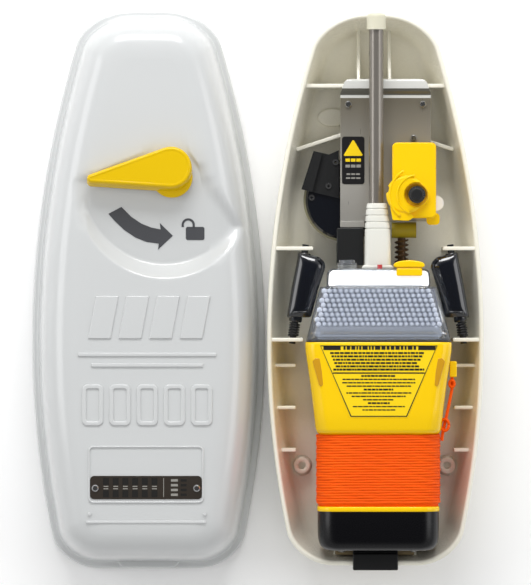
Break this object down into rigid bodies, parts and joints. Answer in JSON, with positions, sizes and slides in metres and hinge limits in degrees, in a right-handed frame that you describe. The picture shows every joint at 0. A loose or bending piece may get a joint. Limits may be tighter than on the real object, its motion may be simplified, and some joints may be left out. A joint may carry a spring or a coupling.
{
  "type": "emergency position beacon",
  "caption": "Emergency position beacon lying in its open float-free housing tray, with the domed housing cover and its turning lever beside it.",
  "frame": {"origin": "centre of the tray's flat back face", "axes": "+Z out of the tray's back towards its open face, +Y along the antenna towards its tip, +X to the beacon's right side as seen from the front"},
  "size_m": [0.3423, 0.424, 0.0843],
  "materials": {
    "tray_plastic": "moulded ivory plastic, satin",
    "cover_plastic": "cool grey white moulded plastic, glossy",
    "yellow_plastic": "bright yellow moulded plastic",
    "lever_plastic": "warm yellow moulded plastic",
    "black_plastic": "glossy blue-black plastic",
    "black_matte": "matte black plastic",
    "clear_plastic": "clear moulded plastic",
    "reflector_film": "metallised dimpled film",
    "white_plastic": "white diffuser plastic",
    "steel_sheet": "brushed stainless sheet",
    "steel_part": "turned stainless steel",
    "label_dark": "dark printed film",
    "label_yellow": "yellow printed film",
    "expiry_metal": "dark anodised plate",
    "arrow_ink": "dark grey ink",
    "olive_plastic": "olive yellow plastic",
    "brown_metal": "dark brown plated metal",
    "seal_rubber": "moulded rubber",
    "boot_rubber": "off-white moulded rubber",
    "whip_sleeve": "silver grey sleeve",
    "beige_plastic": "beige plastic",
    "board": "green circuit board",
    "cell_wrap": "shrink-wrapped cells",
    "lanyard_cord": "braided orange cord",
    "red_lens": "red lamp"
  },
  "bodies": {
    "tray": {"base_shell": "tray_plastic", "backing_plate": "steel_sheet", "plate_screws": "steel_part", "plate_label": "label_dark", "release_disc": "black_plastic", "disc_ring": "beige_plastic", "disc_bracket": "black_matte", "bracket_rivets": "steel_part", "release_box": "yellow_plastic", "release_bolt": "black_matte", "bolt_ring": "steel_part", "float_washer": "white_plastic", "ejector_drum": "olive_plastic", "ejector_rod": "brown_metal", "ejector_spring": "brown_metal", "rest_block": "black_matte", "hinge_tab": "black_matte", "arm_pins": "black_matte", "arm_spring_left": "steel_part", "arm_spring_right": "steel_part"},
    "cover": {"cover_shell": "cover_plastic", "cover_seal": "seal_rubber", "expiry_plate": "expiry_metal", "expiry_rivets": "steel_part", "open_arrow": "arrow_ink"},
    "lever": {"lever": "lever_plastic", "lever_shaft": "steel_part", "lever_washer": "steel_part", "hook_plate": "steel_part", "hook_screw": "steel_part"},
    "beacon": {"body_shell": "yellow_plastic", "lens": "clear_plastic", "reflector": "reflector_film", "lens_seal": "seal_rubber", "base_cap": "black_plastic", "cap_seal": "seal_rubber", "front_label": "label_yellow", "antenna_boot": "boot_rubber", "antenna_whip": "whip_sleeve", "antenna_tip": "beige_plastic", "strobe_lamp": "white_plastic", "circuit_board": "board", "battery_cells": "cell_wrap", "sea_contacts": "steel_part", "lanyard_winding": "lanyard_cord", "lanyard_lug": "yellow_plastic", "lanyard_tail": "lanyard_cord", "button_spring": "steel_part", "case_screws": "steel_part", "status_lamp": "red_lens", "light_stud": "clear_plastic"},
    "cam": {"release_cam": "yellow_plastic"},
    "left_arm": {"arm_left": "black_plastic"},
    "right_arm": {"arm_right": "black_plastic"},
    "slider": {"switch_slider": "yellow_plastic"},
    "button": {"test_button": "yellow_plastic"}
  },
  "joints": [
    {"name": "cover_lift", "type": "slide", "parent": "tray", "child": "cover", "axis": [0, 0, 1], "range_m": [0, 0.14]},
    {"name": "beacon_lift", "type": "slide", "parent": "tray", "child": "beacon", "axis": [0, 0, 1], "range_m": [0, 0.14]},
    {"name": "lever_turn", "type": "hinge", "parent": "cover", "child": "lever", "pos_m": [-0.154, 0.0917, 0.06], "axis": [0, 0, 1], "range_deg": [0, 90]},
    {"name": "cam_turn", "type": "hinge", "parent": "tray", "child": "cam", "pos_m": [0.0307, 0.0712, 0.068], "axis": [0, 0, 1], "range_deg": [0, 25]},
    {"name": "left_arm_open", "type": "hinge", "parent": "tray", "child": "left_arm", "pos_m": [-0.053, 0.031, 0.046], "axis": [-0.1364, -0.9907, 0], "range_deg": [0, 65], "stiffness_Nm_per_rad": 0.05, "springref_deg": -11.46},
    {"name": "right_arm_open", "type": "hinge", "parent": "tray", "child": "right_arm", "pos_m": [0.057, 0.031, 0.046], "axis": [-0.1364, 0.9907, 0], "range_deg": [0, 65], "stiffness_Nm_per_rad": 0.05, "springref_deg": -11.46},
    {"name": "switch_slide", "type": "slide", "parent": "beacon", "child": "slider", "axis": [0, 0, 1], "range_m": [0, 0.009]},
    {"name": "button_press", "type": "slide", "parent": "beacon", "child": "button", "axis": [0, -1, 0], "range_m": [0, 0.0025], "stiffness_N_per_m": 400, "deforming": ["button_spring"]}
  ]
}
